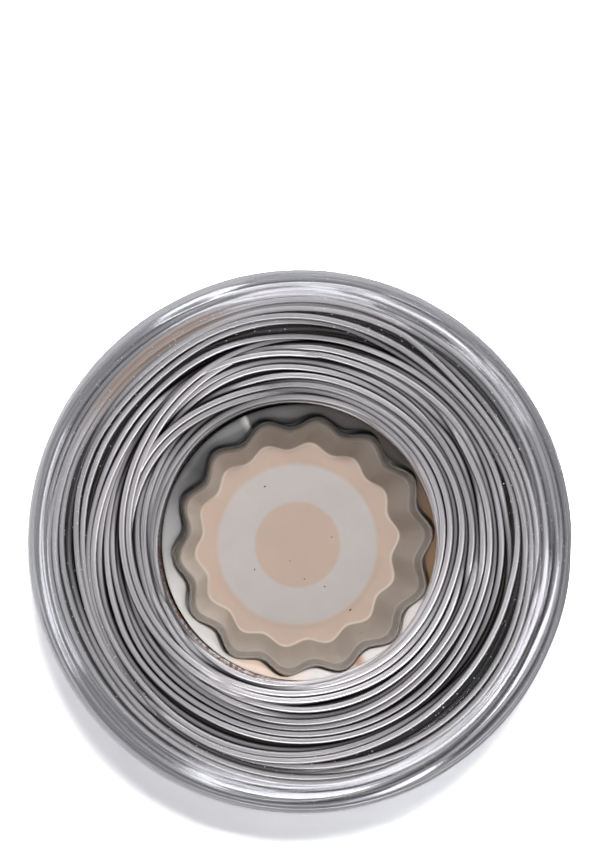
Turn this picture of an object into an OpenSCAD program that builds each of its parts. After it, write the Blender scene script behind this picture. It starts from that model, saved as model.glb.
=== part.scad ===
// Coil of galvanized steel wire, wrapped in clear film, with a fluted cup pressed into its bore.
// The coil lies on its back end: +Z is up, the bore runs along Z and the cup opens upwards.

/* [Wire] */
// Diameter of the wire
wire_d = 1.8; // [1.4:0.1:2.6]
// Spacing of neighbouring turns, in wire diameters
turn_lay = 0.95; // [0.85:0.01:0.98]

/* [Coil] */
// Diameter over the outermost turns
coil_od = 148; // [130:1:180]
// Diameter inside the innermost turns
bore_d = 75; // [66:1:84]
// Width of the winding along the bore
coil_w = 48; // [42:1:60]
// Rounding of the outer shoulders of the winding
shoulder_r = 14; // [8:0.5:18]
// Rounding of the winding where it turns into the bore
mouth_r = 3; // [2:0.5:9]

/* [Film and liner] */
// Thickness of the clear film
film_t = 0.15; // [0.1:0.05:0.4]
// How far the film reaches in from the rim over each end
film_reach = 17; // [8:0.5:26]
// Thickness of the paper that lines the bore
liner_t = 0.4; // [0.2:0.1:1]
// How far the liner ends behind each end of the winding
liner_inset = 3; // [1:0.5:8]
// Clearance between pieces that lie against each other
fit_gap = 0.1; // [0.05:0.05:0.3]

/* [Hub cup] */
// Number of lobes round the cup
lobes = 14; // [10:1:18]
// Height of a lobe from trough to crest
lobe_h = 2.7; // [1.5:0.1:4]
// Thickness of the moulded wall
cup_t = 0.8; // [0.5:0.1:1.2]
// Play between the crests of the lobes and the liner
cup_play = 1.5; // [0.8:0.1:2.5]
// Depth of the cup from its rim to the underside of its floor
cup_depth = 20; // [15:1:26]
// How far the rim lies behind the front of the winding
cup_recess = 6.5; // [4:0.5:10]
// Height of the steep lip below the rim
lip_h = 3.5; // [2:0.5:6]
// How far the lip leans in
lip_lean = 1.1; // [0.2:0.1:1.5]
// Width of the ledge at the foot of the lip
ledge_w = 0.5; // [0.2:0.1:1]
// How far the wall leans in between the ledge and the floor
wall_lean = 4.1; // [2:0.1:7]
// Share of the lobes' height that is left at the floor
foot_lobes = 0.75; // [0.4:0.05:1]
// Inside rounding between wall and floor
floor_r = 1.4; // [0.6:0.2:3]
// Diameter of the raised panel in the floor
panel_d = 45; // [30:1:48]
// Height of the raised panel
panel_h = 0.5; // [0.2:0.1:1.2]
// Direction in which the cup has settled in the bore, clockwise from +X seen from the front
settle_angle = 46; // [0:1:90]
// How far the settled cup leans to the right seen from the front
cup_tilt = 5; // [0:0.5:6]

/* [Hidden] */
wire_r = wire_d / 2;
turn_pitch = wire_d * turn_lay;
// The solid middle of the winding ends between the centres of its outer turns and their valleys
core_inset = 0.85 * wire_r;
coil_r = coil_od / 2;
bore_r = bore_d / 2;
half_w = coil_w / 2;
film_in = fit_gap;
film_out = fit_gap + film_t;
lift = half_w + film_out;
liner_out_r = bore_r - fit_gap;
liner_in_r = liner_out_r - liner_t;
cup_r = liner_in_r - cup_play - lobe_h / 2;
settle = cup_play - fit_gap;
lobe_steps = 8;
wire_fn = 48;
round_fn = 128;

// Lays a shape that was drawn round the middle of the bore, front down, on its back end
module on_end() {
  translate([0, 0, lift])
    rotate([180, 0, 0])
      children();
}

// Half section of the winding, grown by a margin on every side
module winding_section(grow) {
  inner = bore_r - grow;
  outer = coil_r + grow;
  half = half_w + grow;
  mouth = mouth_r + grow;
  shoulder = shoulder_r + grow;
  translate([inner + mouth, -half])
    square([outer - shoulder - inner - mouth, 2 * half]);
  translate([inner, mouth - half])
    square([mouth, 2 * (half - mouth)]);
  translate([outer - shoulder, shoulder - half])
    square([shoulder, 2 * (half - shoulder)]);
  for (side = [-1, 1]) {
    translate([inner + mouth, side * (half - mouth)])
      circle(r = mouth, $fn = round_fn);
    translate([outer - shoulder, side * (half - shoulder)])
      circle(r = shoulder, $fn = round_fn);
  }
}

module turn_at(place) {
  translate(place)
    circle(r = wire_r, $fn = wire_fn);
}

// Turns laid side by side along a straight run of the section
module turn_run(from, to) {
  count = max(1, round(norm(to - from) / turn_pitch));
  for (i = [0 : count])
    turn_at(from + (to - from) * i / count);
}

// Turns laid side by side round a quarter bend of the section
module turn_bend(centre, bend_r, start) {
  count = max(1, round(bend_r * PI / 2 / turn_pitch));
  for (i = [1 : 1 : count - 1])
    turn_at(centre + bend_r * [cos(start + 90 * i / count), sin(start + 90 * i / count)]);
}

// The outermost layer of turns, on both ends, on the rim and in the bore
module outer_turns() {
  inner = bore_r + wire_r;
  outer = coil_r - wire_r;
  half = half_w - wire_r;
  mouth = mouth_r - wire_r;
  shoulder = shoulder_r - wire_r;
  for (side = [-1, 1]) {
    turn_run([inner + mouth, side * half], [outer - shoulder, side * half]);
    turn_bend([outer - shoulder, side * (half - shoulder)], shoulder, side > 0 ? 0 : -90);
    turn_bend([inner + mouth, side * (half - mouth)], mouth, side > 0 ? 90 : 180);
  }
  turn_run([outer, shoulder - half], [outer, half - shoulder]);
  turn_run([inner, mouth - half], [inner, half - mouth]);
}

module wire_coil() {
  color([0.66, 0.67, 0.70])
    on_end()
      rotate_extrude($fn = round_fn)
        union() {
          winding_section(-core_inset);
          outer_turns();
        }
}

module film_wrap() {
  eye_r = coil_r - film_reach;
  color([0.85, 0.87, 0.90, 0.25])
    on_end()
      rotate_extrude($fn = round_fn)
        difference() {
          winding_section(film_out);
          winding_section(film_in);
          translate([0, -coil_w])
            square([eye_r, 2 * coil_w]);
        }
}

module bore_liner() {
  length = coil_w - 2 * liner_inset;
  color([0.62, 0.52, 0.42])
    on_end()
      translate([0, 0, -length / 2])
        difference() {
          cylinder(r = liner_out_r, h = length, $fn = round_fn);
          translate([0, 0, -1])
            cylinder(r = liner_in_r, h = length + 2, $fn = round_fn);
        }
}

// Profile of the cup from the middle of its floor, over the rim and back to the middle of its
// underside. Each entry is a radius, a depth below the rim and the share of the lobes it carries.
function cup_profile() =
  let (
    floor_z = cup_depth - cup_t,
    lip_in = cup_r - cup_t,
    lip_foot = lip_in - lip_lean,
    wall_top = lip_foot - ledge_w,
    wall_foot = wall_top - wall_lean,
    bend_c = wall_foot - floor_r,
    bend_z = floor_z - floor_r,
    panel_r = panel_d / 2,
    edge = cup_t / 4
  )
  concat(
    [[panel_r - 2 * panel_h, floor_z - panel_h, 0], [panel_r, floor_z, 0]],
    [for (a = [90 : -30 : 0]) [bend_c + floor_r * cos(a), bend_z + floor_r * sin(a), foot_lobes]],
    [[wall_top, lip_h + ledge_w, 1], [lip_foot, lip_h, 1], [lip_in, edge, 1]],
    [[lip_in + edge, 0, 1], [cup_r - edge, 0, 1], [cup_r, edge, 1]],
    [[cup_r - lip_lean, lip_h + cup_t, 1], [wall_top + cup_t, lip_h + ledge_w + cup_t, 1]],
    [for (a = [0 : 30 : 90])
      [bend_c + (floor_r + cup_t) * cos(a), bend_z + (floor_r + cup_t) * sin(a), foot_lobes]],
    [[panel_r, cup_depth, 0], [panel_r - 2 * panel_h, cup_depth - panel_h, 0]]
  );

// A turned shell whose radius waves in lobes, skinned from a profile
module fluted_shell(profile) {
  count = lobes * lobe_steps;
  rings = len(profile);
  points = concat(
    [for (p = profile, i = [0 : count - 1])
      let (angle = settle_angle + 360 * i / count, wave = lobe_h / 2 * cos(360 * i / lobe_steps))
      [(p[0] + p[2] * wave) * cos(angle), (p[0] + p[2] * wave) * sin(angle), p[1]]],
    [[0, 0, profile[0][1]], [0, 0, profile[rings - 1][1]]]
  );
  first = rings * count;
  sides = [for (r = [0 : rings - 2], i = [0 : count - 1])
    let (j = (i + 1) % count, low = r * count, high = low + count)
    each [[low + i, low + j, high + j], [low + i, high + j, high + i]]];
  floor_top = [for (i = [0 : count - 1]) [first, (i + 1) % count, i]];
  underside = [for (i = [0 : count - 1])
    [first + 1, first - count + i, first - count + (i + 1) % count]];
  polyhedron(points, concat(floor_top, sides, underside));
}

module hub_cup() {
  color([0.70, 0.64, 0.58])
    on_end()
      translate([settle * cos(settle_angle), settle * sin(settle_angle), cup_recess - half_w])
        rotate([0, -cup_tilt, 0])
          fluted_shell(cup_profile());
}

wire_coil();
film_wrap();
bore_liner();
hub_cup();
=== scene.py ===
# %% [markdown]
# # A coil of galvanized wire in clear film
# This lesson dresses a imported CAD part: a coil of wire that lies on its end, with film drawn over
# its shoulders, paper in its bore and a fluted plastic cup. Its sizes could be typed in again, but
# the CAD solids already hold them. So the first cell loads the solids and keeps their box, which the
# dressed model has to stay inside.

# %% Load the frame
import math
import bpy
import numpy as np
from mathutils import Matrix, Vector


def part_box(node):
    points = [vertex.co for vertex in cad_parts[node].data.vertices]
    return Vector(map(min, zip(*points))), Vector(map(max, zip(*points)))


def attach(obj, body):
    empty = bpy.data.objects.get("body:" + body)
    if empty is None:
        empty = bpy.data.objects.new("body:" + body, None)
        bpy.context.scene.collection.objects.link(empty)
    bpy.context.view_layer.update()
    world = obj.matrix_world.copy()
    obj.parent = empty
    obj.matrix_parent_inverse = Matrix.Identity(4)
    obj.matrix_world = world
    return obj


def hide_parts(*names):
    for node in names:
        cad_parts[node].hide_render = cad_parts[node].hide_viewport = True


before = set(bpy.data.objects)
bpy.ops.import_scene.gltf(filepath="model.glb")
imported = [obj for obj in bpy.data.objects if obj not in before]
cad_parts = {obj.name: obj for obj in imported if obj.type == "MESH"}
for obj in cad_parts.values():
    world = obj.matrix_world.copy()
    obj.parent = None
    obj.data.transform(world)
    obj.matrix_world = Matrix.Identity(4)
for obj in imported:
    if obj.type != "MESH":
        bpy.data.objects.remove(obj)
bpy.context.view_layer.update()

# %% [markdown]
# ## Sizes from the solids
# A wound coil is round, so its pieces are easiest to think of in a polar frame: a radius from the
# bore's axis, an angle round it and a place along it. Plain x, y and z would do too, but then every
# piece would need its own sines and cosines. The helper `at` holds them once. Angles run
# anticlockwise as seen from the front, which faces up, and the place along the bore is measured from
# the middle towards the back.

# %% Read the sizes
MM = 0.001
coil_low, coil_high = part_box("wire_coil")
liner_low, liner_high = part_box("bore_liner")
coil_r = (coil_high[0] - coil_low[0]) / 2
half_w = (coil_high[2] - coil_low[2]) / 2
mid_z = (coil_high[2] + coil_low[2]) / 2
fit_gap = 0.1 * MM
bore_r = (liner_high[0] - liner_low[0]) / 2 + fit_gap
wire_d = 1.8 * MM
wire_r = wire_d / 2
shoulder_r = 14 * MM
mouth_r = 3 * MM


def at(radius, angle, along):
    """The point at a radius and an angle round the bore, and a place along it."""
    parts = np.broadcast_arrays(radius * np.cos(angle), radius * np.sin(angle), mid_z - along)
    return np.stack(parts, axis=-1)


print("coil radius", coil_r, "bore radius", bore_r, "half width", half_w, "middle", mid_z)

# %% [markdown]
# ## Camera
# The photograph looks along the bore from a long way off, so the rim is nearly a true circle. A short
# lens close by would show more of the bore's wall than the photograph does. The aim point lies off
# the coil's middle, which puts the coil low in the picture without shifting the lens.

# %% Place the camera
image_w = 600
image_h = 853
rim_mm = 148.5
rim_px = 540.5
coil_row = 541.0
mm_per_px = rim_mm / rim_px
camera_up = math.radians(1.0)
camera_distance = 1.3

scene = bpy.context.scene
camera_data = bpy.data.cameras.new("camera")
camera = bpy.data.objects.new("camera", camera_data)
scene.collection.objects.link(camera)
scene.camera = camera
camera_data.sensor_fit = "HORIZONTAL"
camera_data.sensor_width = 36
camera_data.lens = camera_data.sensor_width * camera_distance / (image_w * mm_per_px * MM)
eye = Vector((0, math.sin(camera_up), math.cos(camera_up))) * camera_distance + Vector((0, 0, mid_z))
aim = Vector((0, (coil_row - image_h / 2) * mm_per_px * MM, mid_z))
ahead = (aim - eye).normalized()
right = ahead.cross(Vector((0, 1, 0))).normalized()
turn = Matrix((right, right.cross(ahead), -ahead)).transposed()
camera.matrix_world = Matrix.Translation(eye) @ turn.to_4x4()
print("lens", camera_data.lens, "eye", eye)

# %% [markdown]
# ## Shader nodes in one call each
# Light, zinc, film, plastic and paper are all graphs of shader nodes. They could be drawn in the node
# editor and linked there. In a script a graph reads best when each node is one call that is given its
# inputs, so these helpers take plain values and sockets alike and link the sockets.

# %% Make the node helpers


def feed(tree, value, target):
    """Links an output socket to an input, or sets the input to a plain value."""
    if isinstance(value, bpy.types.NodeSocket):
        tree.links.new(value, target)
    else:
        target.default_value = value


def place(tree, kind, *inputs, **settings):
    """A new node with its first inputs in order, and settings or further inputs by name."""
    node = tree.nodes.new(kind)
    for key, value in settings.items():
        name = key.replace("_", " ").title()
        if name in node.inputs:
            feed(tree, value, node.inputs[name])
        else:
            setattr(node, key, value)
    for value, target in zip(inputs, node.inputs):
        feed(tree, value, target)
    return node


def reckon(tree, operation, *inputs, **settings):
    """What a Math node makes of its inputs."""
    return place(tree, "ShaderNodeMath", *inputs, operation=operation, **settings).outputs[0]


def reckon_vector(tree, operation, *inputs, **settings):
    """What a Vector Math node makes of its inputs: a number for a length or a dot product."""
    node = place(tree, "ShaderNodeVectorMath", *inputs, operation=operation, **settings)
    return node.outputs["Value" if operation in ("DOT_PRODUCT", "LENGTH") else "Vector"]


def remap(tree, value, start, end, low=0.0, high=1.0, soft=False):
    """A value taken from one range to another and held past its ends, with soft ends if asked."""
    kind = "SMOOTHSTEP" if soft else "LINEAR"
    ends = {"from_min": start, "from_max": end, "to_min": low, "to_max": high}
    return place(tree, "ShaderNodeMapRange", interpolation_type=kind, value=value, **ends).outputs["Result"]


def between(tree, share, low, high):
    """A value that goes from low to high as the share goes from none to all."""
    return remap(tree, share, 0.0, 1.0, low, high)


def blend(tree, share, first, second, kind="RGBA"):
    """One colour blended into another, or one number if the kind is FLOAT."""
    node = place(tree, "ShaderNodeMix", data_type=kind, factor=share, a=first, b=second)
    return node.outputs[{"FLOAT": 0, "RGBA": 2}[kind]]


WHITE = (1, 1, 1, 1)
print("node helpers ready")

# %% [markdown]
# ## The light tent
# The real coil was lit in white surroundings, and its metal shows them from every side. A picture of
# a studio could surround the scene. A world that is painted by direction is easier to change: it is
# brighter in front, with a window's glow at the lower right. Matt pieces get little light from it,
# because the lamps give that, and the camera sees plain white.

# %% Build the tent
side_strength = 0.36
front_strength = 0.66
window_strength = 0.2
window_way = (0.6, -0.4, 0.0)
strength_on_matt = 0.10
front_range = (0.1, 0.95)
window_range = (0.0, 0.85)

scene.view_settings.view_transform = "Standard"
world = bpy.data.worlds.new("tent")
scene.world = world
world.use_nodes = True
tent = world.node_tree
tent.nodes.clear()
ray = place(tent, "ShaderNodeLightPath").outputs
direction = place(tent, "ShaderNodeTexCoord").outputs["Generated"]
to_front = place(tent, "ShaderNodeSeparateXYZ", direction).outputs["Z"]
to_window = reckon_vector(tent, "DOT_PRODUCT", direction, window_way)
front_glow = remap(tent, to_front, *front_range, side_strength, front_strength, soft=True)
window_glow = remap(tent, to_window, *window_range, 0.0, window_strength, soft=True)
pattern = reckon(tent, "ADD", front_glow, window_glow)
cast = blend(tent, ray["Is Glossy Ray"], strength_on_matt, pattern, "FLOAT")
shown = blend(tent, ray["Is Camera Ray"], cast, 1.0, "FLOAT")
sky = place(tent, "ShaderNodeBackground", color=WHITE, strength=shown)
place(tent, "ShaderNodeOutputWorld", sky.outputs["Background"])
print("tent:", len(tent.nodes), "nodes")

# %% [markdown]
# ## Lamps and cards
# Soft boxes and white cards round the real coil draw the long highlights on its film. Area lamps
# stand in for them; points of light would draw dots. The box in front sets the level of light and
# throws the shadow, and it stays out of reflections, where it would burn a spot. The cards are the
# other way round: they show in reflections only, so that each highlight can be set by itself.

# %% Hang the lamps


def softbox(name, where, size, watts):
    """A rectangular soft box that looks at the middle of the coil."""
    data = bpy.data.lights.new(name, "AREA")
    data.shape = "RECTANGLE"
    data.size, data.size_y = size
    data.energy = watts
    lamp = bpy.data.objects.new(name, data)
    scene.collection.objects.link(lamp)
    lamp.location = where
    lamp.rotation_euler = (Vector((0, 0, mid_z)) - Vector(where)).to_track_quat("-Z", "Y").to_euler()
    return lamp


front_box = softbox("front_box", (0.06, 0.31, 1.05), (0.24, 0.24), 9.3)
front_box.visible_glossy = False
softbox("top_box", (0.10, 0.85, 0.20), (1.4, 0.3), 3.6)
cards = [
    ("key_card", (0.05, 0.50, 0.95), (0.5, 0.3), 0.3),
    ("key_left", (-0.50, 0.10, 0.95), (0.3, 0.5), 0.3),
    ("key_right", (0.50, 0.00, 0.95), (0.3, 0.5), 0.3),
    ("left_card", (-0.85, -0.05, 0.18), (0.9, 0.3), 1.8),
    ("right_card", (0.78, -0.32, 0.46), (0.6, 0.4), 2.4),
    ("corner_card", (0.62, 0.58, 0.12), (0.5, 0.2), 0.5),
    ("floor_card", (0.20, -0.75, 0.44), (1.3, 0.4), 6.5),
]
for card in cards:
    softbox(*card).visible_diffuse = False
print("lamps", [lamp.name for lamp in bpy.data.lights])

# %% [markdown]
# ## The floor
# The coil lies on white paper that is overexposed, so that only the shadow shows on it. Stronger
# lamps would do that, and would spoil the coil. Light Path lets the camera alone see a much paler
# paper, and plain white past the shadow. Metal and film see the paper as a glow instead, stronger
# close to the rim and at the left.

# %% Lay the floor
floor_reach = 6.0
floor_corners = [(x * floor_reach, y * floor_reach, 0) for x, y in ((-1, -1), (1, -1), (1, 1), (-1, 1))]
floor_mesh = bpy.data.meshes.new("floor")
floor_mesh.from_pydata(floor_corners, [], [(0, 1, 2, 3)])
floor = bpy.data.objects.new("floor", floor_mesh)
scene.collection.objects.link(floor)
print("floor laid,", 2 * floor_reach, "m wide")

# %% Coat the floor
paper_albedo = (0.8, 0.8, 0.8, 1)
overexposed = (3.6, 3.6, 3.6, 1)
glow_way = (-1.0, 0.15, 0.0)
glow_span = 0.10
right_level = 0.20
left_level = 0.56
close_range = (0.12, 0.16)
close_level = 1.5
far_level = 0.45
shadow_range = (0.18, 0.35)

studio_paper = bpy.data.materials.new("studio_paper")
studio_paper.use_nodes = True
tree = studio_paper.node_tree
tree.nodes.clear()
ray = place(tree, "ShaderNodeLightPath").outputs
spot = place(tree, "ShaderNodeTexCoord").outputs["Object"]
from_coil = reckon_vector(tree, "LENGTH", spot)
paper_color = blend(tree, ray["Is Camera Ray"], paper_albedo, overexposed)
matt = place(tree, "ShaderNodeBsdfDiffuse", color=paper_color)
to_left = reckon_vector(tree, "DOT_PRODUCT", spot, glow_way)
left_glow = remap(tree, to_left, -glow_span, glow_span, right_level, left_level)
close_glow = remap(tree, from_coil, *close_range, close_level, far_level)
glow_strength = reckon(tree, "MULTIPLY", left_glow, close_glow)
glow = place(tree, "ShaderNodeEmission", color=WHITE, strength=glow_strength)
mirrored = reckon(tree, "MAXIMUM", ray["Is Glossy Ray"], ray["Is Transmission Ray"])
near_floor = place(tree, "ShaderNodeMixShader", mirrored, matt.outputs[0], glow.outputs[0])
past_shadow = remap(tree, from_coil, *shadow_range, soft=True)
plain_part = reckon(tree, "MULTIPLY", past_shadow, ray["Is Camera Ray"])
plain_white = place(tree, "ShaderNodeEmission", color=WHITE)
whole_floor = place(tree, "ShaderNodeMixShader", plain_part, near_floor.outputs[0], plain_white.outputs[0])
place(tree, "ShaderNodeOutputMaterial", whole_floor.outputs[0])
floor_mesh.materials.append(studio_paper)
print("floor coated:", len(tree.nodes), "nodes")

# %% [markdown]
# ## The winding's section
# The real winding fills a rounded rectangle that is turned round the bore. Its turns could be placed
# by radius and depth, with a rule for each side. Here the section's outline is walked once, from the
# middle of the bore over the front, the rim and the back, so that a single number, the way along the
# outline, says where a turn lies.

# %% Walk the outline
outline_step = 0.1 * MM


def section_outline(inset):
    """Marks along the section's outline, its points with their outward normals, and its length."""
    inner = bore_r + inset
    outer = coil_r - inset
    half = half_w - inset
    mouth = mouth_r - inset
    shoulder = shoulder_r - inset

    def run(start, end, normal):
        count = max(2, int(math.dist(start, end) / outline_step))
        share = np.linspace(0, 1, count, endpoint=False)[:, None]
        points = np.array(start) + share * (np.array(end) - np.array(start))
        return np.hstack([points, np.tile(normal, (count, 1))])

    def bend(centre, radius, start):
        count = max(2, int(radius * math.pi / 2 / outline_step))
        sweep = np.radians(start + 90 * np.linspace(0, 1, count, endpoint=False))
        normals = np.stack([np.cos(sweep), np.sin(sweep)], axis=1)
        return np.hstack([np.array(centre) + radius * normals, normals])

    walk = np.vstack([
        run((inner, 0), (inner, mouth - half), (-1, 0)),
        bend((inner + mouth, mouth - half), mouth, 180),
        run((inner + mouth, -half), (outer - shoulder, -half), (0, -1)),
        bend((outer - shoulder, shoulder - half), shoulder, 270),
        run((outer, shoulder - half), (outer, half - shoulder), (1, 0)),
        bend((outer - shoulder, half - shoulder), shoulder, 0),
        run((outer - shoulder, half), (inner + mouth, half), (0, 1)),
        bend((inner + mouth, half - mouth), mouth, 90),
        run((inner, half - mouth), (inner, 0), (-1, 0)),
    ])
    steps = np.linalg.norm(np.diff(walk[:, :2], axis=0, append=walk[:1, :2]), axis=1)
    marks = np.concatenate([[0], np.cumsum(steps)[:-1]])
    return marks, walk, steps.sum()


outer_outline = section_outline(wire_r)
print("outline length", outer_outline[2], "in", len(outer_outline[0]), "steps")

# %% Read the outline


def on_outline(outline, way):
    """Radius, place along the bore and normal at the given ways along an outline."""
    marks, walk, length = outline
    marks = np.append(marks, length)
    walk = np.vstack([walk, walk[:1]])
    return [np.interp(way % length, marks, walk[:, column]) for column in range(4)]


front_start = half_w - mouth_r + (mouth_r - wire_r) * math.pi / 2


def way_at(radius):
    """Way along the outer turns' outline at a radius on the flat of the front end."""
    return front_start + radius - bore_r - mouth_r


print("front flat starts at", front_start)

# %% [markdown]
# ## Turns that cross
# Not every turn of the real wire stays in its row. Some come up from below, cross over their
# neighbours and dive again, and four of them make the bright bundle at the upper left. They could be
# drawn as curves by hand. A few knots of angle and radius say the same in less, and the script
# smooths them and sinks both ends below the surface.

# %% Lead the crossing turns
crossing_steps = 100
crossing_smoothings = 70
dive_share = 0.42
dive_depth = 1.1 * wire_d
row_pitch = 1.02


def crossing_turn(knots, step_out):
    """Angles, ways and heights of a crossing turn, from knots of angle in degrees and radius in mm."""
    knot_angle, knot_radius = np.array(knots, float).T
    share = np.linspace(0, 1, crossing_steps)
    angle = np.radians(knot_angle[0] + share * (knot_angle[-1] - knot_angle[0]))
    way = way_at(np.interp(np.degrees(angle), knot_angle, knot_radius) * MM + step_out * wire_d)
    for _ in range(crossing_smoothings):
        way[1:-1] = (way[:-2] + 2 * way[1:-1] + way[2:]) / 4
    dive = np.clip(np.minimum(share, 1 - share) / dive_share, 0, 1)
    height = -dive_depth * (0.5 + 0.5 * np.cos(dive * math.pi))
    return angle, way, height


outer_bundle = [
    (60, 54.9), (85, 54.7), (105, 53.8), (120, 52.2), (135, 50.3),
    (155, 48.3), (180, 47), (205, 45.5), (235, 43.9), (300, 42.3),
]
inner_bundle = [(75, 43), (105, 43.3), (120, 44), (132, 45.4), (145, 47), (160, 47.6), (195, 47.8)]
crossing = [
    crossing_turn(knots, row * row_pitch + first_row)
    for knots, first_row in ((outer_bundle, -0.5), (inner_bundle, -1))
    for row in (0, 1)
]
print("crossing turns:", len(crossing))

# %% [markdown]
# ## Turns laid side by side
# Wire that is wound at random doesn't lie in even rows. Neighbours touch for a stretch, then drift
# apart and leave a long dark lens between them, and where many crowd together some sink below the
# others. Noise alone would let the turns run through each other. So they start as a chain of slow
# waves, gaps are opened in it, and rounds of pushing apart settle what overlaps.

# %% Draw slow waves
steps_round = 120
wave_size = 1.6
angles = np.linspace(0, 2 * math.pi, steps_round, endpoint=False)


def smooth_round(values):
    """Rows of values round the circle, each value evened out with its neighbours."""
    return (np.roll(values, 1, axis=-1) + 2 * values + np.roll(values, -1, axis=-1)) / 4


def slow_waves(rng, count, highest):
    """Smooth waves round the circle, one row for each turn, within about -1 to 1."""
    waves = np.zeros((count, steps_round))
    for order in range(1, highest + 1):
        size = rng.normal(0, 1, (count, 1)) / order
        waves += size * np.cos(order * angles + rng.uniform(0, 2 * math.pi, (count, 1)))
    return waves / wave_size


print("steps round the circle:", steps_round)

# %% [markdown]
# ## Gaps between the turns
# The photograph shows where the widest gaps lie, and the turns inside the main ones have sagged. A
# dark stripe could be painted there, but it would show no depth. Each gap is given by the middle of
# its run and its clear width instead, and it spreads the turns on both sides and lowers the inner ones.

# %% Open the gaps
gap_reach = 12 * MM
sag_share = 0.5
sag_inward = 4 * MM
sag_spread = 4.5 * MM


def swelling(centre, spread):
    """A smooth swelling over part of the circle, one at its centre and nought past its spread."""
    away = np.abs((angles - centre + math.pi) % (2 * math.pi) - math.pi)
    return np.cos(np.clip(away / spread, 0, 1) * math.pi / 2) ** 2


def open_gaps(way, height, gaps):
    """Ways and heights with the turns spread and sagged at each gap, and the edges to keep open."""
    edges = []
    for radius, centre, spread, width, lean in gaps:
        here = swelling(math.radians(centre), math.radians(spread))
        turned = (np.degrees(angles) - centre + 180) % 360 - 180
        gap_way = way_at((radius + lean * np.clip(turned, -spread, spread)) * MM)
        opening = (width * MM + wire_d) / 2 * here
        beyond = way.mean(axis=1, keepdims=True) > way_at(radius * MM)
        away = way - gap_way
        height = height - sag_share * width * MM * here * np.exp(-((away + sag_inward) / sag_spread) ** 2)
        way = way + np.where(beyond, 1, -1) * opening * np.exp(-np.abs(away) / gap_reach)
        edges.append((beyond, gap_way, opening))
    return way, height, edges


# Radius in mm, centre and spread in degrees, clear width in mm, lean in mm per degree
photo_gaps = [
    (59.7, -46, 68, 2.3, -0.02),
    (56.0, -28, 40, 0.3, -0.02),
    (57.0, 12, 30, 0.4, 0),
    (58.0, 95, 45, 1.2, 0),
    (61.5, 75, 40, 0.8, 0),
    (56.7, 145, 30, 0.3, 0),
    (60.2, 160, 35, 0.4, 0),
    (63.2, 172, 45, 0.7, 0),
    (66.3, 190, 40, 0.6, 0),
    (68.8, 155, 35, 0.5, 0),
    (64.2, 38, 40, 0.6, 0),
    (67.3, 55, 35, 0.5, 0),
    (66.0, 235, 35, 0.4, 0),
    (52.2, 192, 35, 0.5, 0),
    (45.9, 108, 25, 0.4, 0),
]
print("gaps:", len(photo_gaps))

# %% [markdown]
# ## Turns that press on each other
# Where real turns overlap they push aside or climb, and under a crossing turn they stay low. A
# physics engine could settle them, but a hundred bent wires are slow and never end up twice the same.
# Moving each pair a little apart, round after round, does the same on plain arrays.

# %% Push the turns apart
push_gain = 0.25
push_aside = 0.2
push_up = 1.2
tiny = 1e-9
nowhere = -1


def push_apart(way, height, length):
    """Ways and heights after one round in which turns that overlap push each other away."""
    for apart in (1, 2, 3, 4):
        side = np.roll(way, -apart, axis=0) - way
        side[-apart:] += length
        rise = np.roll(height, -apart, axis=0) - height
        distance = np.hypot(side, rise) + tiny
        push = push_gain * np.clip(wire_d - distance, 0, None) / distance
        way = way + push_aside * (np.roll(push * side, apart, axis=0) - push * side)
        height = height + push_up * (np.roll(push * rise, apart, axis=0) - push * rise)
    return way, height


def keep_under(way, obstacles):
    """The highest that each turn may lie where crossing turns pass over it."""
    ceiling = np.zeros_like(way)
    for over_angle, over_way, over_height in obstacles:
        along = (angles - over_angle[0]) % (2 * math.pi) + over_angle[0]
        side = np.interp(along, over_angle, over_way, right=nowhere)[None, :] - way
        high = np.interp(along, over_angle, over_height, right=nowhere)[None, :]
        surfaced = np.clip(high / wire_d + 1, 0, 1) ** 2
        ceiling = np.minimum(ceiling, surfaced * -np.sqrt(np.clip(wire_d ** 2 - side ** 2, 0, None)))
    return ceiling


print("pushing within", wire_d / MM, "mm")

# %% Settle the outer layer
bundle_sizes = (2, 6)
own_drift = 0.35
own_sink = 0.5
push_rounds = 100
rounds_to_smooth = 3
deepest = 2 * wire_d
outer_count = 100
outer_seed = 11


def settle(rng, length, count, wander, sink, gaps=(), obstacles=()):
    """Way along the outline and height of every turn, at every step round the circle."""
    bundle = np.repeat(np.arange(count), rng.integers(*bundle_sizes, count))[:count]
    drift = slow_waves(rng, count, 7)[bundle] + own_drift * slow_waves(rng, count, 9)
    way = (np.arange(count)[:, None] + 0.5) * length / count + wander * drift
    dips = slow_waves(rng, count, 5)[bundle] + own_sink * slow_waves(rng, count, 6)
    height = -sink * wire_d * np.abs(dips)
    way, height, edges = open_gaps(way, height, gaps)
    for push_round in range(1, push_rounds + 1):
        way, height = push_apart(way, height, length)
        for beyond, gap_way, opening in edges:
            kept = np.where(beyond, np.maximum(way, gap_way + opening), np.minimum(way, gap_way - opening))
            way = np.where(opening > wire_r, kept, way)
        height = smooth_round(np.clip(height, -deepest, keep_under(way, obstacles)))
        if push_round % rounds_to_smooth == 0:
            way = smooth_round(way)
    return way, height


outer_way, outer_height = settle(
    np.random.default_rng(outer_seed), outer_outline[2], outer_count,
    wander=1.6 * MM, sink=0.42, gaps=photo_gaps, obstacles=crossing,
)
print("outer layer:", outer_count, "turns; deepest", outer_height.min() / MM, "mm")

# %% [markdown]
# ## Meshes from grids of points
# Wire, film, cup and paper are all bent sheets or closed tubes, whose points lie in rows and columns.
# Curves, revolves and modifiers could make each in its own way. One helper that turns any grid of
# points into a mesh keeps them alike, and it lays the grid's own map over the mesh, which the
# finishes need later.

# %% Make the grid helper


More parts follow.
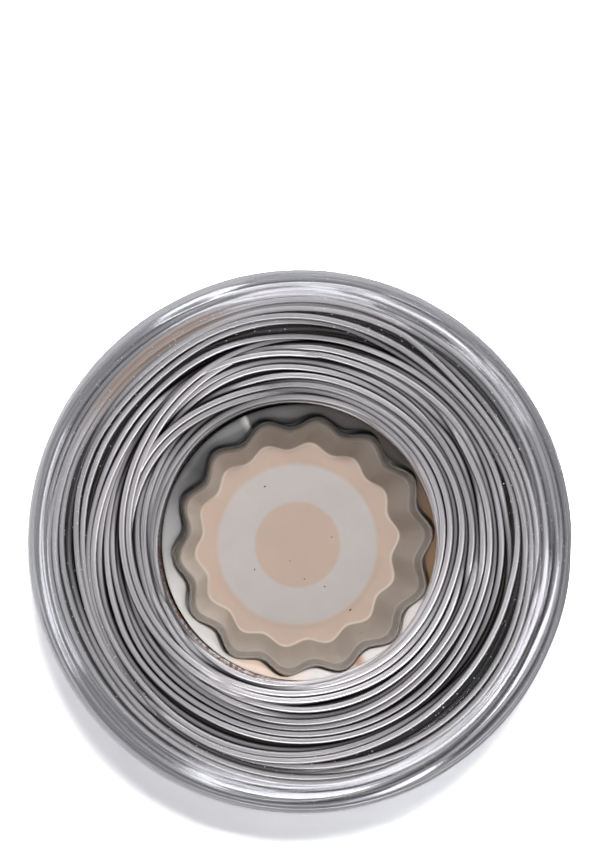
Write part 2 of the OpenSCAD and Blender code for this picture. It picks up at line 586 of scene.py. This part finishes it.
def grid_piece(name, points, close_rows=False, close_columns=False, chart=None, lap=0):
    """A smooth mesh object from a grid of points, closed along its rows or columns if asked.

    The lap is what the map's values have grown by once they are back at the first column.
    """
    rows, columns = points.shape[:2]
    row = np.arange(rows if close_rows else rows - 1)[:, None]
    column = np.arange(columns if close_columns else columns - 1)[None, :]
    row_on = (row + 1) % rows
    column_on = (column + 1) % columns
    corners = [(row, column), (row, column_on), (row_on, column_on), (row_on, column)]
    quads = np.stack([r * columns + c for r, c in corners], axis=-1).reshape(-1, 4)
    mesh = bpy.data.meshes.new(name)
    mesh.from_pydata(points.reshape(-1, 3).tolist(), [], quads.tolist())
    if chart is not None:
        layer = mesh.uv_layers.new(name="along")
        places = chart.reshape(-1, 2)[quads]
        places[quads[:, 1] % columns == 0, 1:3] += lap
        layer.data.foreach_set("uv", places.ravel().astype(np.float32))
    mesh.shade_smooth()
    piece = bpy.data.objects.new(name, mesh)
    scene.collection.objects.link(piece)
    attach(piece, "root")
    return piece


def chart_of(first, second):
    """A map for a grid from its two values, each given for the rows, the columns or both."""
    return np.stack(np.broadcast_arrays(first, second), axis=-1)


print("grid helper ready")

# %% [markdown]
# ## One wire from the turns
# The real coil is a single wire. A curve with a round bevel could be swept along the turns, but its
# rings may twist. Rings that stand in the plane through the bore's axis can't, and they are true
# enough, because a turn hardly leaves its circle. The wire's map holds metres along the wire and the
# depth below the surface in wire diameters, which the zinc uses to paint shade into the grooves.

# %% Sweep the wire
mouth_slide = 0.8
mouth_lean = 1.0
mouth_spread = 6 * MM


def mouth_shift(angle, way):
    """How far the turns at the front mouth of the bore have slid in, most at the right."""
    near = np.exp(-((way - front_start) / mouth_spread) ** 2)
    return -(mouth_slide + mouth_lean * np.cos(angle)) * MM * near


def tube(outline, angle, way, height, sides):
    """Rings of points round a wire that follows the outline, and its map."""
    radius, along, normal_r, normal_y = [part[:, None] for part in on_outline(outline, way)]
    radius = radius + mouth_shift(angle, way)[:, None] + height[:, None] * normal_r
    along = along + height[:, None] * normal_y
    spin = (math.pi + 2 * math.pi * np.arange(sides) / sides)[None, :]
    ring_r = radius + wire_r * (np.cos(spin) * normal_r - np.sin(spin) * normal_y)
    ring_y = along + wire_r * (np.cos(spin) * normal_y + np.sin(spin) * normal_r)
    points = at(ring_r, angle[:, None], ring_y)
    steps = np.linalg.norm(np.diff(points[:, 0], axis=0), axis=1)
    travelled = np.concatenate([[0], np.cumsum(steps)])[:, None]
    return points, chart_of(travelled, (wire_r - height[:, None] - wire_r * np.cos(spin)) / wire_d)


def wire_piece(name, outline, way, height, sides):
    """One long wire swept through the given turns, each moving on to the next over its round."""
    share = (np.arange(steps_round) / steps_round)[None, :]
    onward = np.roll(way, -1, axis=0)
    onward[-1] += outline[2]
    way = way + share * (onward - way)
    height = height + share * (np.roll(height, -1, axis=0) - height)
    points, chart = tube(outline, np.tile(angles, way.shape[0]), way.ravel(), height.ravel(), sides)
    return grid_piece(name, points, close_rows=True, close_columns=True, chart=chart)


outer_sides = 8
outer_turns = wire_piece("outer_turns", outer_outline, outer_way, outer_height, outer_sides)
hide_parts("wire_coil")
print("outer turns:", len(outer_turns.data.polygons), "faces")

# %% Sweep the crossing turns
crossing_sides = 10
crossing_turns = []
for number, (angle, way, height) in enumerate(crossing):
    points, chart = tube(outer_outline, angle, way, height, crossing_sides)
    piece = grid_piece(f"crossing_turn_{number}", points, close_columns=True, chart=chart)
    crossing_turns.append(piece)
print("crossing turns:", [piece.name for piece in crossing_turns])

# %% [markdown]
# ## Turns below the surface
# Through the gaps of the real coil more wire shows, dark in the shade. Winding the whole coil would
# take millions of faces that stay hidden. One more layer that is swept in the same way, with fewer
# sides, and a plain turned core below it look the same and keep light from passing through. Their
# zinc is painted nearly black as shade.

# %% Lay the second layer
lower_depth = 2.4 * MM
lower_count = 64
lower_sides = 6
lower_seed = 5
core_depth = 3.6 * MM
core_thinning = 8

lower_outline = section_outline(wire_r + lower_depth)
lower_way, lower_height = settle(
    np.random.default_rng(lower_seed), lower_outline[2], lower_count, wander=1.2 * MM, sink=0.2
)
lower_turns = wire_piece("lower_turns", lower_outline, lower_way, lower_height, lower_sides)
core_walk = section_outline(wire_r + core_depth)[1][::core_thinning]
core_points = at(core_walk[:, 0:1], angles[None, :], core_walk[:, 1:2])
winding_core = grid_piece("winding_core", core_points, close_rows=True, close_columns=True)
print("lower turns:", len(lower_turns.data.polygons), "faces; core", len(winding_core.data.polygons))

# %% [markdown]
# ## The film
# Stretch film is drawn over the rim and a little way onto each end. It touches the highest turns and
# bridges the hollows between them. A cloth simulation could lay it, slowly. Taking the highest of
# many shallow arches at every angle, one over each turn, gives what taut film does over round bars.
# Low ridges along the pull then break up its reflections, as they do on the real film.

# %% Lay the film over the turns
film_t = 0.15 * MM
film_reach = 17 * MM
film_rows = 120
film_columns = 320
film_smoothings = 12
bridge_r = 9 * MM

film_lift = fit_gap + film_t / 2
film_outline = section_outline(-film_lift)
film_edge_r = coil_r - film_reach
film_front = half_w - mouth_r + (mouth_r + film_lift) * math.pi / 2
film_start = film_front + film_edge_r - bore_r - mouth_r
film_way = np.linspace(film_start, film_outline[2] - film_start, film_rows)[:, None]
film_angles = np.linspace(0, 2 * math.pi, film_columns, endpoint=False)


def round_the_circle(values):
    """Rows given at the wire's angles, read off at the film's angles."""
    closed = np.concatenate([values, values[:, :1]], axis=1)
    grid = np.append(angles, 2 * math.pi)
    return np.stack([np.interp(film_angles, grid, line) for line in closed])


crest_way = round_the_circle(outer_way) * film_outline[2] / outer_outline[2]
crest_height = round_the_circle(outer_height)
film_height = np.full((film_rows, film_columns), -1.0)
for turn_way, turn_height in zip(crest_way, crest_height):
    arch = turn_height[None, :] - (film_way - turn_way[None, :]) ** 2 / (2 * bridge_r)
    film_height = np.maximum(film_height, arch)
for _ in range(film_smoothings):
    film_height = smooth_round(film_height)
print("film laid; deepest hollow", film_height.min() / MM, "mm")

# %% Ridge the film
ridge_pitches = (1.6, 2.3, 3.4, 5.0)
ridge_share = 0.018
ridge_bend = 1.2
any_phase = 6.28
ridge_seed = 3

rng = np.random.default_rng(ridge_seed)
ridges = np.zeros_like(film_height)
for pitch in ridge_pitches:
    bends = [
        rng.normal(0, ridge_bend) * np.cos(order * film_angles + rng.uniform(0, any_phase))
        for order in (1, 2, 3, 5)
    ]
    fade = 0.5 + 0.5 * np.cos(film_angles * rng.integers(2, 5) + rng.uniform(0, any_phase))
    ridges += ridge_share * pitch * MM * fade * np.cos(2 * math.pi * film_way / (pitch * MM) + sum(bends))
film_height = np.minimum(film_height + ridges, 0)
print("highest ridge", ridges.max() / MM, "mm")

# %% Make the film sheet
film_r, film_y, film_nr, film_ny = on_outline(film_outline, film_way)
film_points = at(film_r + film_height * film_nr, film_angles[None, :], film_y + film_height * film_ny)
film_chart = chart_of(film_angles[None, :] / (2 * math.pi), film_way / MM)
film_sheet = grid_piece("film_sheet", film_points, close_columns=True, chart=film_chart, lap=(1, 0))
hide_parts("film_wrap")
print("film:", len(film_sheet.data.polygons), "faces")

# %% [markdown]
# ## The cup
# The cup is moulded with fourteen lobes that fade towards its floor. It could be cut from a cylinder
# with modifiers. A profile that is turned round, with the lobes as a wave on its radius, gives the
# CAD shape with finer steps and rounded edges: a floor with a shallow step, a drafted wall, a ledge,
# a steep lip and the rim. The cup has settled askew in the bore, so it is tilted and moved last.

# %% Size the cup
lobes = 14
lobe_h = 2.7 * MM
cup_t = 0.8 * MM
cup_depth = 20 * MM
cup_recess = 6.5 * MM
cup_r = 34.15 * MM
cup_tilt = math.radians(5)
settle_angle = math.radians(-46)
settle_by = 1.4 * MM
lip_h = 3.5 * MM
edge_r = cup_t / 2
lip_in = cup_r - cup_t
lip_foot = lip_in - 1.1 * MM
wall_top = lip_foot - 0.5 * MM
wall_foot = wall_top - 4.1 * MM
floor_y = cup_depth - cup_t
floor_bend = 1.4 * MM
foot_share = 0.75
disc_r = 11.8 * MM
panel_r = 22.5 * MM
panel_h = 0.5 * MM
panel_top_r = panel_r - 2 * panel_h
nearly_middle = 0.01 * MM
print("cup:", lobes, "lobes; wall from", wall_foot, "to", wall_top)

# %% Draw the cup's profile


def arc(centre_r, centre_d, radius, start, end, count, share=1):
    """Entries of the profile along a bend: radius, depth and share of the lobes."""
    sweep = np.radians(np.linspace(start, end, count))
    return [(centre_r + radius * math.cos(a), centre_d + radius * math.sin(a), share) for a in sweep]


bend_c = wall_foot - floor_bend
bend_d = floor_y - floor_bend
inside = [
    (nearly_middle, floor_y - panel_h, 0),
    (disc_r, floor_y - panel_h, 0),
    (panel_top_r, floor_y - panel_h, 0),
    (panel_r, floor_y, 0),
    (panel_r + 1.5 * MM, floor_y, 0.2),
    *arc(bend_c, bend_d, floor_bend, 90, 0, 6, foot_share),
    (wall_top - 0.15 * MM, lip_h + 0.9 * MM, 1),
    (wall_top + 0.1 * MM, lip_h + 0.45 * MM, 1),
    (lip_foot - 0.1 * MM, lip_h + 0.15 * MM, 1),
    (lip_foot + 0.05 * MM, lip_h - 0.4 * MM, 1),
]
rim = arc(lip_in + edge_r, edge_r, edge_r, 180, 360, 8)
outside = [
    (cup_r - 0.6 * MM, lip_h + cup_t, 1),
    (wall_top + cup_t, lip_h + 0.5 * MM + cup_t, 1),
    *arc(bend_c, bend_d, floor_bend + cup_t, 0, 90, 5, foot_share),
    (panel_r, cup_depth, 0),
    (panel_top_r, cup_depth - panel_h, 0),
    (nearly_middle, cup_depth - panel_h, 0),
]
profile = np.array(inside + rim + outside)
profile_steps = np.hypot(np.diff(profile[:, 0]), np.diff(profile[:, 1]))
profile_way = np.concatenate([[profile[0, 0]], profile[0, 0] + np.cumsum(profile_steps)])[:, None]
print("way along the cup's profile in mm", (profile_way[:, 0] / MM).round(1))

# %% Mould the cup
profile_full = 100 * MM
cup_columns = lobes * 18

cup_angles = np.linspace(0, 2 * math.pi, cup_columns, endpoint=False)
wave = lobe_h / 2 * np.cos(lobes * (cup_angles - settle_angle))
cup_radius = profile[:, 0:1] + profile[:, 2:3] * wave[None, :]
upright = np.stack(np.broadcast_arrays(
    cup_radius * np.cos(cup_angles), cup_radius * np.sin(cup_angles), -profile[:, 1:2]
), axis=-1)
lean_over = np.array(Matrix.Rotation(cup_tilt, 3, "Y"))
rim_middle = at(settle_by, settle_angle, cup_recess - half_w)
cup_points = upright @ lean_over.T + rim_middle
cup_chart = chart_of(profile_way / profile_full, cup_angles[None, :] / (2 * math.pi))
cup = grid_piece("cup", cup_points, close_columns=True, chart=cup_chart, lap=(0, 1))
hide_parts("hub_cup")

# %% [markdown]
# ## The liner
# A loose strip of paper lines the bore. It leans out to the cup's lip between the lobes and then bows
# round the cup's narrow foot, most at the upper left, where the cup has left room. A cloth simulation
# could find that shape. A few eased curves over the depth say it directly and keep it off the cup.

# %% Find the liner's room
liner_rows = 60
liner_columns = 336
bow_mean = 4.6
bow_lean = 1.4
crumple = 0.3 * MM
lip_clear = 0.6 * MM
most_room = 6 * MM

liner_angles = np.linspace(0, 2 * math.pi, liner_columns, endpoint=False)[None, :]
from_settled = liner_angles - settle_angle
bow = (bow_mean - bow_lean * np.cos(from_settled)) * MM
bow = bow + crumple * np.sin(5 * liner_angles + 1) * np.sin(3 * liner_angles)
lip_reach = cup_r + lobe_h / 2 * np.cos(lobes * from_settled) + settle_by * np.cos(from_settled)
room = np.clip(bore_r - lip_clear - lip_reach, 0, most_room)
print("room beside the lip, mm", room.min() / MM, "to", room.max() / MM)

# %% Roll the liner
lean_run = 2.6 * MM
lean_share = 0.8
lip_end = 6 * MM
foot_run = 9 * MM
wire_clear = 0.2 * MM


def ease(value):
    """A share that starts and ends gently."""
    value = np.clip(value, 0, 1)
    return value * value * (3 - 2 * value)


liner_front = mid_z - liner_high[2]
liner_back = mid_z - liner_low[2]
depth = np.linspace(0, 1, liner_rows)[:, None]
liner_y = liner_front + depth * (liner_back - liner_front)
below = liner_y - liner_front
to_lip = ease(below / (lean_run + lean_share * room))
behind_lip = ease((below - lip_end) / foot_run)
back_half = np.cos(np.clip(liner_y / liner_back, 0, 1) * math.pi / 2) ** 2
bowed = room * to_lip * (1 - behind_lip) + bow * behind_lip * back_half
liner_points = at(bore_r - wire_clear - bowed, liner_angles, liner_y)
liner_chart = chart_of(liner_angles / (2 * math.pi), depth)
liner_strip = grid_piece("liner_strip", liner_points, close_columns=True, chart=liner_chart, lap=(1, 0))
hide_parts("bore_liner")
print("liner:", len(liner_strip.data.polygons), "faces; widest bow", bowed.max() / MM, "mm")

# %% [markdown]
# ## Shared effect: soft mottle
# Rust, frosted plastic and paper are all a little cloudy. A painted picture of clouds would have
# seams and a fixed sharpness. Noise in the object's own coordinates has neither, so one node group
# gives it, between a low and a high value.

# %% Make the mottle group


def new_group(name, inputs):
    """A shader node group with named float inputs and one value, and the sockets inside it."""
    group = bpy.data.node_groups.new(name, "ShaderNodeTree")
    for socket, default in inputs.items():
        made = group.interface.new_socket(socket, in_out="INPUT", socket_type="NodeSocketFloat")
        made.default_value = default
    group.interface.new_socket("Value", in_out="OUTPUT", socket_type="NodeSocketFloat")
    given = place(group, "NodeGroupInput").outputs
    return group, given, place(group, "NodeGroupOutput").inputs["Value"]


mottle, given, result = new_group("soft_mottle", {"Scale": 300.0, "Low": 0.8, "High": 1.0})
spot = place(mottle, "ShaderNodeTexCoord").outputs["Object"]
clouds = place(mottle, "ShaderNodeTexNoise", vector=spot, scale=given["Scale"], detail=4.0, roughness=0.6)
feed(mottle, remap(mottle, clouds.outputs[0], 0.3, 0.7, given["Low"], given["High"]), result)
print("group", mottle.name)

# %% [markdown]
# ## Shared effect: drawn lines
# Wire that was pulled through a die has fine lines along it, and stretch film has streaks and creases
# along its pull. Modelled grooves would take too many faces. One node group makes all of them from
# noise that is stretched along the piece's own map.

# %% Make the line group


def scaled_map(tree, given):
    """The piece's own map, stretched by the group's two scales."""
    spot = place(tree, "ShaderNodeUVMap", uv_map="along").outputs["UV"]
    scales = place(tree, "ShaderNodeCombineXYZ", given["Along"], given["Across"]).outputs[0]
    return reckon_vector(tree, "MULTIPLY", spot, scales)


line_inputs = {"Along": 5.0, "Across": 14.0, "Low": 0.8, "High": 1.1}
drawn_lines, given, result = new_group("drawn_lines", line_inputs)
spot = scaled_map(drawn_lines, given)
lines = place(drawn_lines, "ShaderNodeTexNoise", vector=spot, scale=1.0, detail=5.0, roughness=0.6)
feed(drawn_lines, remap(drawn_lines, lines.outputs[0], 0.33, 0.68, given["Low"], given["High"]), result)
print("group", drawn_lines.name)

# %% [markdown]
# ## Shared effect: specks
# Dust and painted glints lie on the film, and a few dark grains in the cup. Scattered grains of
# geometry would be heavy and hard to seat on a bent sheet. The node group scatters dots over the
# piece's own map instead, and fills only a share of its cells.

# %% Make the speck group
speck_inputs = {"Along": 150.0, "Across": 0.25, "Share": 0.1, "Size": 0.16}
specks, given, result = new_group("specks", speck_inputs)
spot = scaled_map(specks, given)
cell = place(specks, "ShaderNodeTexVoronoi", voronoi_dimensions="2D", vector=spot, scale=1.0).outputs
chance = place(specks, "ShaderNodeSeparateXYZ", cell["Color"]).outputs["X"]
inside_dot = reckon(specks, "LESS_THAN", cell["Distance"], given["Size"])
filled = reckon(specks, "LESS_THAN", chance, given["Share"])
feed(specks, reckon(specks, "MULTIPLY", inside_dot, filled), result)
print("group", specks.name)

# %% [markdown]
# ## Shared effect: one side of the bore
# The innermost turns aren't alike all round: shade is painted on them at the upper left, a sheen is
# painted at the bottom, and they are rusty along a line at the lower left. Each place could be painted
# by hand on the wire.
# This group finds it instead, from the side of the coil that a point is on and from its distance to
# the bore's axis.

# %% Make the side group
side_range = (0.008, 0.034)
side_inputs = {"Outer": 0.047, "Inner": 0.040, "Side X": -0.64, "Side Y": 0.77}
one_side, given, result = new_group("one_side", side_inputs)
spot = place(one_side, "ShaderNodeTexCoord").outputs["Object"]
side_way = place(one_side, "ShaderNodeCombineXYZ", given["Side X"], given["Side Y"]).outputs[0]
to_side = reckon_vector(one_side, "DOT_PRODUCT", spot, side_way)
from_axis = reckon_vector(one_side, "LENGTH", reckon_vector(one_side, "MULTIPLY", spot, (1, 1, 0)))
on_side = remap(one_side, to_side, *side_range, soft=True)
near_bore = remap(one_side, from_axis, given["Outer"], given["Inner"], soft=True)
feed(one_side, reckon(one_side, "MULTIPLY", on_side, near_bore), result)
print("group", one_side.name)

# %% [markdown]
# ## Zinc
# The wire is hot-dip galvanized: a satin grey metal with a slightly uneven sheen along its length. One
# plain metal would make all turns alike. Here shade is painted into the grooves, darker with their
# depth, and the last group paints shade on the turns at the upper left of the bore, a sheen on those
# at its bottom, and rust along a line at the lower left. Rust is less metallic, because the layer on it
# scatters light, and the turns with painted shade are made less metallic as well.

# %% Make the zinc


def new_material(name, **settings):
    """A material with one Principled shader and its unlinked inputs set by name."""
    material = bpy.data.materials.new(name)
    material.use_nodes = True
    tree = material.node_tree
    tree.nodes.clear()
    shader = place(tree, "ShaderNodeBsdfPrincipled", **settings)
    place(tree, "ShaderNodeOutputMaterial", shader.outputs[0])
    return material, tree, shader.inputs


def use_group(tree, group, **settings):
    """The value of a node group that is placed with its own settings."""
    return place(tree, "ShaderNodeGroup", node_tree=group, **settings).outputs["Value"]


def own_map(tree):
    """The two values of the piece's own map, as X and Y."""
    spot = place(tree, "ShaderNodeUVMap", uv_map="along").outputs["UV"]
    return place(tree, "ShaderNodeSeparateXYZ", spot).outputs


rust = (0.16, 0.07, 0.035, 1)
groove_range = (0.28, 1.15)
groove_tone = 0.03
side_shade_tone = 0.6
bottom_sheen_tone = 1.5
clean_metal = 0.75
shaded_metal = 0.25
rust_range = (0.75, 1.0)


def zinc(name, color):
    """Galvanized metal with painted shade in its grooves, and with painted shade, a painted sheen and rust
    on turns at the bore.
    """
    material, tree, coat = new_material(name, roughness=0.32)
    # Painted shade: the grooves darken with their depth below the surface.
    groove_shade = remap(tree, own_map(tree)["Y"], *groove_range, 1.0, groove_tone, soft=True)
    drawn = use_group(tree, drawn_lines, along=4.0, across=15.0, low=0.6, high=1.2)
    # Painted shade: the innermost turns at the upper left are darker and less metallic.
    shade_side = use_group(tree, one_side)
    # Painted sheen: the innermost turns at the bottom are lighter.
    bottom_sheen = use_group(tree, one_side, outer=0.048, inner=0.041, side_x=0.17, side_y=-0.98)
    tone = reckon(tree, "MULTIPLY", groove_shade, drawn)
    tone = reckon(tree, "MULTIPLY", tone, between(tree, shade_side, 1.0, side_shade_tone))
    tone = reckon(tree, "MULTIPLY", tone, between(tree, bottom_sheen, 1.0, bottom_sheen_tone))
    metal_color = reckon_vector(tree, "SCALE", color, scale=tone)
    rust_line = use_group(tree, one_side, outer=0.0392, inner=0.0384, side_x=-0.80, side_y=-0.60)
    rust_run = remap(tree, rust_line, *rust_range)
    blotch = use_group(tree, mottle, scale=1100.0, low=-0.6, high=1.6)
    rusty = reckon(tree, "MULTIPLY", rust_run, blotch, use_clamp=True)
    metal = between(tree, shade_side, clean_metal, shaded_metal)
    feed(tree, reckon(tree, "MULTIPLY", metal, between(tree, rusty, 1.0, 0.0)), coat["Metallic"])
    feed(tree, blend(tree, rusty, metal_color, rust), coat["Base Color"])
    return material


print("zinc uses", [group.name for group in (drawn_lines, one_side, mottle)])

# %% Coat the wire
bright_zinc = zinc("bright_zinc", (0.56, 0.54, 0.56))
# The lower layer and the core get zinc that is painted nearly black: painted shade deep in the winding.
shaded_zinc = zinc("shaded_zinc", (0.06, 0.057, 0.053))
for piece in [outer_turns] + crossing_turns:
    piece.data.materials.append(bright_zinc)
for piece in (lower_turns, winding_core):
    piece.data.materials.append(shaded_zinc)
print("zinc:", bright_zinc.name, shaded_zinc.name)

# %% [markdown]
# ## Clear film
# Stretch film shows by its reflections. Glass that bends light would be slow and too thick. A thin
# bright skin that is mostly see-through does better: hazy over the rim and clear on the ends, with
# streaks along the pull, and less see-through at a glancing angle. Fine creases break its highlights,
# a warm brown reflection is painted at the upper left, and dust and short painted glints lie on top.

# %% Veil the film
haze_range = (31.0, 16.0)
clear_level = 0.03
hazy_level = 0.82

clear_film, tree, coat = new_material("stretched_film", roughness=0.13)
film_parts = own_map(tree)
from_rim = reckon(tree, "SUBTRACT", film_parts["Y"], film_outline[2] / 2 / MM)
haze = remap(tree, reckon(tree, "ABSOLUTE", from_rim), *haze_range, clear_level, hazy_level, soft=True)
streak = use_group(tree, drawn_lines, along=4.0, across=0.7, low=0.15, high=1.0)
veil = reckon(tree, "MULTIPLY", streak, haze)
glance = place(tree, "ShaderNodeLayerWeight", blend=0.3).outputs["Facing"]
creases = use_group(tree, drawn_lines, along=2.5, across=1.7, low=0.0, high=1.0)
creased = place(tree, "ShaderNodeBump", strength=0.2, distance=0.0001, height=creases)
feed(tree, creased.outputs["Normal"], coat["Normal"])
print("film veiled")

# %% Paint a warm reflection on the film at the upper left
warm_side = -27.0
warm_turn = 128 / 360
warm_width = (3.4, 0.8)
warm_length = (0.085, 0.03)
cool_skin = (0.80, 0.81, 0.88, 1)
warm_skin = (0.62, 0.46, 0.38, 1)
warm_veil = 0.4

# Painted reflection: a warm brown patch in the film's colour and veil.
off_side = reckon(tree, "ABSOLUTE", reckon(tree, "SUBTRACT", from_rim, warm_side))
off_turn = reckon(tree, "ABSOLUTE", reckon(tree, "SUBTRACT", film_parts["X"], warm_turn))
across_patch = remap(tree, off_side, *warm_width, soft=True)
along_patch = remap(tree, off_turn, *warm_length, soft=True)
warm = reckon(tree, "MULTIPLY", across_patch, along_patch)
skin = blend(tree, warm, cool_skin, warm_skin)
sheer = reckon(tree, "MAXIMUM", reckon(tree, "MULTIPLY_ADD", warm, warm_veil, veil), glance)
print("film warmed at", warm_turn * 360, "degrees")

# %% Dust the film and paint glints on it
dust_and_glint_color = (0.95, 0.95, 0.95, 1)
film_shine = 0.8

dust = use_group(tree, specks, along=360.0, across=0.7, share=0.14, size=0.1)
# Painted glints: short white ticks that run across the turns.
painted_glints = use_group(tree, specks, along=420.0, across=0.1, share=0.015, size=0.05)
marks = reckon(tree, "MAXIMUM", dust, painted_glints)
feed(tree, reckon(tree, "MAXIMUM", sheer, marks), coat["Alpha"])
feed(tree, blend(tree, marks, skin, dust_and_glint_color), coat["Base Color"])
feed(tree, between(tree, marks, film_shine, 0.0), coat["Metallic"])
film_sheet.data.materials.append(clear_film)
print("film coated:", len(tree.nodes), "nodes")

# %% [markdown]
# ## Frosted plastic
# The cup is frosted grey-beige plastic. Its floor shows a beige disc, a pale ring and beige again,
# then come a painted highlight along the floor's edge, the greyer wall and the lip. A mesh for each band
# would leave seams, so one ramp along the cup's profile colours them all. A little light scatters inside
# the plastic, shade is painted on the lip at the top and light on the wall at the left, and a few dark
# grains lie in the cup.

# %% Band the cup
beige = (0.60, 0.46, 0.38, 1)
pale = (0.60, 0.55, 0.53, 1)
# Painted highlight: a light band where the floor bends up into the wall.
edge_highlight = (0.82, 0.70, 0.60, 1)
wall = (0.42, 0.365, 0.32, 1)
ledge = (0.43, 0.375, 0.33, 1)
lip = (0.29, 0.26, 0.235, 1)
rim_edge = (0.24, 0.215, 0.195, 1)


def paint_ramp(ramp, full, stops):
    """Puts colours on a ramp at places that are given as parts of its full length."""
    for element, (position, color) in zip(ramp.elements, stops):
        element.position, element.color = position / full, color
    for position, color in stops[2:]:
        ramp.elements.new(position / full).color = color


cup_plastic, tree, coat = new_material(
    "frosted_plastic", roughness=0.42, subsurface_weight=0.6, subsurface_scale=0.003,
    subsurface_radius=(1.0, 0.85, 0.75),
)
cup_parts = own_map(tree)
bands = place(tree, "ShaderNodeValToRGB", cup_parts["X"])
paint_ramp(bands.color_ramp, profile_full / MM, [
    (11.6, beige), (11.9, pale), (21.5, pale), (22.8, beige), (26.8, beige), (27.05, edge_highlight),
    (27.3, edge_highlight), (27.6, wall), (42.6, wall), (43.2, ledge), (44.4, lip), (47.0, lip), (47.6, rim_edge),
])
print("cup bands:", len(bands.color_ramp.elements))

# %% Shade the cup
dark_lip_at = 112
dark_lip_range = (-0.3, 0.75)
darkest = 0.03
lit_wall_at = 172
lit_wall_range = (0.3, 1.0)
lit_wall_level = 1.7
lip_start = (0.448, 0.462)
wall_start = (0.274, 0.277)
wall_end = (0.432, 0.426)


def facing(tree, turn, degrees):
    """One at an angle round the bore and minus one opposite, from a map's share of a turn."""
    swing = reckon(tree, "MULTIPLY_ADD", turn, 2 * math.pi, -math.radians(degrees))
    return reckon(tree, "COSINE", swing)


# Painted shade: the lip is darkened towards the top. The grains below are specks of dirt.
on_lip = remap(tree, cup_parts["X"], *lip_start)
lip_top = remap(tree, facing(tree, cup_parts["Y"], dark_lip_at), *dark_lip_range, soft=True)
painted_lip_shade = reckon(tree, "MULTIPLY", on_lip, lip_top)
grain = use_group(tree, specks, along=22.0, across=14.0, share=0.12, size=0.04)
lip_shade_and_grain = between(tree, reckon(tree, "MAXIMUM", painted_lip_shade, grain), 1.0, darkest)
past_foot = remap(tree, cup_parts["X"], *wall_start)
short_of_ledge = remap(tree, cup_parts["X"], *wall_end)
on_wall = reckon(tree, "MULTIPLY", past_foot, short_of_ledge)
# Painted light: the wall is lightened at the left.
wall_left = remap(tree, facing(tree, cup_parts["Y"], lit_wall_at), *lit_wall_range, soft=True)
painted_wall_light = between(tree, reckon(tree, "MULTIPLY", wall_left, on_wall), 1.0, lit_wall_level)
cloud = use_group(tree, mottle, scale=120.0, low=0.97, high=1.03)
shade = reckon(tree, "MULTIPLY", painted_wall_light, reckon(tree, "MULTIPLY", cloud, lip_shade_and_grain))
feed(tree, reckon_vector(tree, "SCALE", bands.outputs["Color"], scale=shade), coat["Base Color"])
cup.data.materials.append(cup_plastic)
print("cup coated:", len(tree.nodes), "nodes")

# %% [markdown]
# ## Liner paper
# The paper shows only in slivers beside the cup: brown at the right, and peach and orange at the
# bottom. Shade and light are painted into it as well: nearly black at the top, grey at the left, and
# white at the bottom, where the pale paper is painted as if fully lit. Several materials would need
# its faces sorted. A ramp round the bore puts the colours where they lie, and the mottle clouds them.

# %% Coat the liner
kraft = (0.26, 0.15, 0.08, 1)
dark = (0.055, 0.05, 0.047, 1)
middle = (0.13, 0.125, 0.125, 1)
shady = (0.27, 0.265, 0.27, 1)
grey = (0.42, 0.41, 0.415, 1)
light = (0.86, 0.83, 0.81, 1)
peach = (0.90, 0.72, 0.60, 1)
orange = (0.55, 0.27, 0.12, 1)

liner_paper, tree, coat = new_material("liner_paper", roughness=0.5)
shades = place(tree, "ShaderNodeValToRGB", own_map(tree)["X"])
# Painted shade and light round the bore, together with the paper's own kraft, peach and orange.
paint_ramp(shades.color_ramp, 360, [
    (8, kraft), (38, dark), (75, dark), (100, middle), (113.2, middle), (113.8, light), (114.4, light),
    (116, shady), (128, shady), (145, middle), (165, grey), (200, light), (236, light), (246, peach),
    (262, peach), (276, light), (292, light), (296, orange), (300, light), (332, light), (342, kraft),
])
cloud = use_group(tree, mottle, scale=90.0, low=0.9, high=1.05)
feed(tree, reckon_vector(tree, "SCALE", shades.outputs["Color"], scale=cloud), coat["Base Color"])
liner_strip.data.materials.append(liner_paper)
print("liner coated:", len(shades.color_ramp.elements), "shades")
